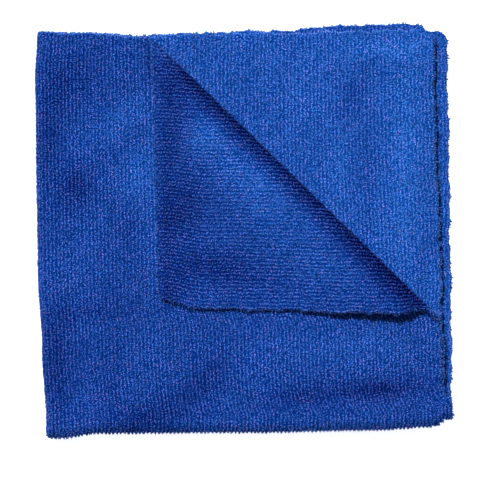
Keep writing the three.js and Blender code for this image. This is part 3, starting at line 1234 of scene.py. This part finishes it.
# %% [markdown]
# ## Growing the pile where it shows
#
# The pile could be one mesh, but a light piece for each part of the cloth is easier to handle.
# The first part is the top layer. Its wales run from the bottom fold to the top edge, and loops
# are left out where the turned corner covers them, apart from a strip that runs in under the
# corner's edge. It has the most loops, so it is grown in two pieces: the wales on the side of
# the left fold, and those in front of the turned corner.

# %% Pile on the top layer
# The pile stops this far from the middle of the flat sheet, just short of the cut edge.
EDGE = HALF - 0.5

# The free edges of the turned corner, and how far the pile runs in under them.
FLAP_LEFT = -41.0
FLAP_BOTTOM = -33.0
TUCK = 10.0

# Where the two pieces meet, and how far past the start of the turn the pile goes on.
SPLIT = 90.0
TOP_STOPS = 2.0


def straight_lines(start, end, step=WALE):
    """Evenly spaced places across the cloth, about a wale apart."""
    return np.linspace(start, end, round((end - start) / step) + 1)


def on_top(points, across, along):
    """The part of the top layer that the turned corner doesn't cover."""
    under = (points[:, 0] > FLAP_LEFT + TUCK) & (points[:, 1] > FLAP_BOTTOM + TUCK)
    return (beyond_turn(lay_out(across, along)) < TOP_STOPS) & ~under


lines = straight_lines(LEFT_ARC, EDGE)
side_lines = lines[lines < SPLIT]
front_lines = lines[lines >= SPLIT]
grow_pile("pile_top_side", wale_chains(side_lines, BOTTOM_ARC, EDGE, 1, on_top), 3, PILE)
grow_pile("pile_top_front", wale_chains(front_lines, BOTTOM_ARC, EDGE, 1, on_top), 4, PILE)

# %% [markdown]
# The turned corner shows the other face of the same layer, so the same wales are followed on
# that face. Its pile starts a little before the sheet bends, and the top layer's stops a little
# after, so that no bare line is left along the fold.

# %% Pile on the turned corner
CORNER_STARTS = -1.0


def on_corner(points, across, along):
    """The part of the top layer that is turned back."""
    return beyond_turn(lay_out(across, along)) > CORNER_STARTS


grow_pile("pile_corner", wale_chains(lines, BOTTOM_ARC, EDGE, -1, on_corner), 5, PILE)

# %% [markdown]
# Where the corner is turned back, it lays a triangle of the second layer bare. This is the face
# that lay against the top layer. Its pile runs in a little under the rounded fold.

# %% Pile on the second layer
UNDER_FOLD = 9.0


def uncovered(points, across, along):
    """The part of the second layer that lies outside the diagonal fold, or just under it."""
    past_fold = (points[:, :2] - TURN_START) @ TURN_OUT
    return past_fold > -UNDER_FOLD


upper_lines = -straight_lines(LEFT_ARC, EDGE)[::-1]
grow_pile("pile_second", wale_chains(upper_lines, BOTTOM_ARC, EDGE, -1, uncovered), 6, PILE)

# %% [markdown]
# The layers don't end flush. A narrow strip of the third layer shows at the top edge, and one
# of the bottom layer at the right. Only these strips of the two get pile.

# %% Pile on the strips of the lower layers
# The strips lie beyond these lines.
TOP_STRIP = 88.0
TOP_STRIP_LEFT = -60.0
SIDE_STRIP = 84.0


def near_top_edge(points, across, along):
    """The strip of the third layer that sticks out at the top edge."""
    return (points[:, 1] > TOP_STRIP) & (points[:, 0] > TOP_STRIP_LEFT)


def near_side_edge(points, across, along):
    """The strip at the right of the bottom layer."""
    return points[:, 0] > SIDE_STRIP


grow_pile(
    "pile_third",
    wale_chains(upper_lines, -EDGE, -BOTTOM_ARC, 1, near_top_edge)
    + wale_chains(lines, -EDGE, -BOTTOM_ARC, -1, near_side_edge),
    7,
    PILE,
)

# %% [markdown]
# The cut edge is sealed and unhemmed, so the last loops stand out sideways from it, in three
# rows one over the other. They follow the outline of the flat sheet, rounded corners and all.
# They are taller, further apart and more uneven than the rest, which makes the edge fuzzy. They
# are also painted a little lighter, as a painted highlight on the cut edge.

# %% Loops along the cut edge
# The rows' heights in the edge, how much lighter they are painted than their layer, as a painted
# highlight, the darkest painted light and shade that layer counts, and how high a loop's crown has
# to stand over the floor.
EDGE_ROWS = (0.6, 0.1, -0.6)
EDGE_PAINTED_HIGHLIGHT = 1.35
EDGE_DARKEST_PAINTED = 0.75
EDGE_CLEAR = 1.2
ARC_POINTS = 12
SIDE_POINTS = 400
QUARTER_TURN = np.array([[0, -1], [1, 0]])


def flat_outline():
    """Walks round the flat sheet and gives its outline, and the way out from each point."""
    quarter = np.linspace(0, math.pi / 2, ARC_POINTS)
    corner = CORNER * np.stack([np.cos(quarter), np.sin(quarter)], -1) + INNER
    run = np.linspace(INNER, -INNER, SIDE_POINTS)[1:-1]
    side = np.stack([run, np.full(len(run), HALF)], -1)
    outline = []
    for turn in range(4):
        spin = np.linalg.matrix_power(QUARTER_TURN, turn)
        outline.append(np.concatenate([corner, side]) @ spin.T)
    outline = np.concatenate([*outline, outline[0][:1]])
    step = np.gradient(outline, axis=0)
    out = np.stack([step[:, 1], -step[:, 0]], -1)
    return outline, out / np.linalg.norm(out, axis=1)[:, None]


def edge_chains(row):
    """Follows the outline at one height in the edge, with loops standing outward."""
    outline, out = flat_outline()
    here = fold(*outline.T, row)
    further = fold(*(outline + out).T, 0.0)
    up = further - fold(*outline.T, -row)
    up /= np.linalg.norm(up, axis=1)[:, None]
    # Each edge loop carries its layer's painted light and shade, no darker than the least, lifted
    # by the painted highlight.
    shade = EDGE_PAINTED_HIGHLIGHT * np.maximum(painted_light_and_shade(here, *outline.T, 1), EDGE_DARKEST_PAINTED)
    clear = here[:, 2] + SHIFT[2] > EDGE_CLEAR - up[:, 2]
    return [((here[run] + SHIFT) * MM, up[run], shade[run]) for run in stretches(clear)]


grow_pile(
    "pile_cut_edge",
    [chain for row in EDGE_ROWS for chain in edge_chains(row)],
    10,
    PILE,
    spacing=1.1,
    height=1.0,
    wander=0.6,
    tuft=0.5,
)

# %% [markdown]
# Round a fold the pile bends with the sheet. A few wales run along the left fold. The bottom
# fold crosses every wale, so each is carried round it, as far down as its loops clear the floor.

# %% Pile round the two folds
BEND_WALES = 5
FLOOR_CLEAR = 1.7


def everywhere(points, across, along):
    """The whole length of a wale."""
    return np.ones(len(across), bool)


def off_the_floor(points, across, along):
    """Round the outside of the fold, as far down as loops clear the floor."""
    return points[:, 2] > FLOOR_CLEAR


bend_lines = np.linspace(-LEFT_ARC, LEFT_ARC, BEND_WALES + 2)[1:-1]
grow_pile(
    "pile_left_fold",
    wale_chains(bend_lines, BOTTOM_ARC, EDGE, 1, everywhere)
    + wale_chains(bend_lines, -EDGE, -BOTTOM_ARC, 1, off_the_floor),
    8,
    PILE,
)
every_line = np.concatenate([bend_lines, lines])
grow_pile(
    "pile_bottom_fold",
    wale_chains(every_line, -BOTTOM_ARC, BOTTOM_ARC, 1, off_the_floor),
    9,
    PILE,
)

# %% [markdown]
# ## Floor, light and camera
#
# The cloth lies on a pale floor that glows a little, so that it stays nearly white and only the
# shadow of the cloth greys it. A sun with a wide disc stands for a large soft lamp at the upper
# left, and a pale sky fills its shadows. The camera looks straight down from so high that the
# sides of the stack hardly show.

# %% Floor
REACH = 1.5
floor_mesh = bpy.data.meshes.new("floor")
floor_mesh.from_pydata(
    [(-REACH, -REACH, 0), (REACH, -REACH, 0), (REACH, REACH, 0), (-REACH, REACH, 0)],
    [],
    [(0, 1, 2, 3)],
)
floor = bpy.data.objects.new("floor", floor_mesh)
bpy.context.collection.objects.link(floor)
paper = bpy.data.materials.new("matt_white_paper")
paper.use_nodes = True
paper_shader = paper.node_tree.nodes["Principled BSDF"]
paper_shader.inputs["Base Color"].default_value = colour("#F4F4F4")
paper_shader.inputs["Roughness"].default_value = 0.9
paper_shader.inputs["Emission Color"].default_value = (1, 1, 1, 1)
paper_shader.inputs["Emission Strength"].default_value = 0.8
floor_mesh.materials.append(paper)
print("floor:", 2 * REACH, "m wide")

# %% Light
world = bpy.data.worlds.new("studio")
bpy.context.scene.world = world
world.use_nodes = True
world.node_tree.nodes["Background"].inputs["Color"].default_value = (1, 1, 1, 1)
world.node_tree.nodes["Background"].inputs["Strength"].default_value = 0.28

key_data = bpy.data.lights.new("key", "SUN")
key_data.energy = 3.95
key_data.angle = math.radians(7)
key = bpy.data.objects.new("key", key_data)
bpy.context.collection.objects.link(key)
KEY_AZIMUTH = math.radians(120)
KEY_HEIGHT = math.radians(61)
towards = Vector(
    (
        math.cos(KEY_AZIMUTH) * math.cos(KEY_HEIGHT),
        math.sin(KEY_AZIMUTH) * math.cos(KEY_HEIGHT),
        math.sin(KEY_HEIGHT),
    )
)
key.rotation_mode = "QUATERNION"
key.rotation_quaternion = towards.to_track_quat("Z", "Y")
bpy.context.scene.view_settings.view_transform = "Standard"
print("lamp at", round(math.degrees(KEY_HEIGHT)), "degrees over the floor")

# %% Camera
# The width that the view takes in, its centre and the height over the cloth, in metres. The
# sensor and the lens are in millimetres.
VIEW_WIDTH = 0.2352
VIEW_CENTRE = (np.array([-2.11, -3.57]) + SHIFT[:2]) * MM
CAMERA_HEIGHT = 2.5
SENSOR = 36
camera_data = bpy.data.cameras.new("camera")
camera_data.sensor_width = SENSOR
camera_data.lens = SENSOR * CAMERA_HEIGHT / VIEW_WIDTH
camera_data.clip_end = 10
camera = bpy.data.objects.new("camera", camera_data)
camera.location = (*VIEW_CENTRE, CAMERA_HEIGHT + STACK_TOP * MM)
bpy.context.collection.objects.link(camera)
bpy.context.scene.camera = camera
print("lens in mm:", round(camera_data.lens))

# %% [markdown]
# ## Telling the frame what each piece is
#
# The ground stands for the CAD solid, and the pile goes with it. The sheet's flat size is
# what the folds add up to.

# %% Pieces
for piece in [ground, *PIECES]:
    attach(piece, "root")
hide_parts("cloth")
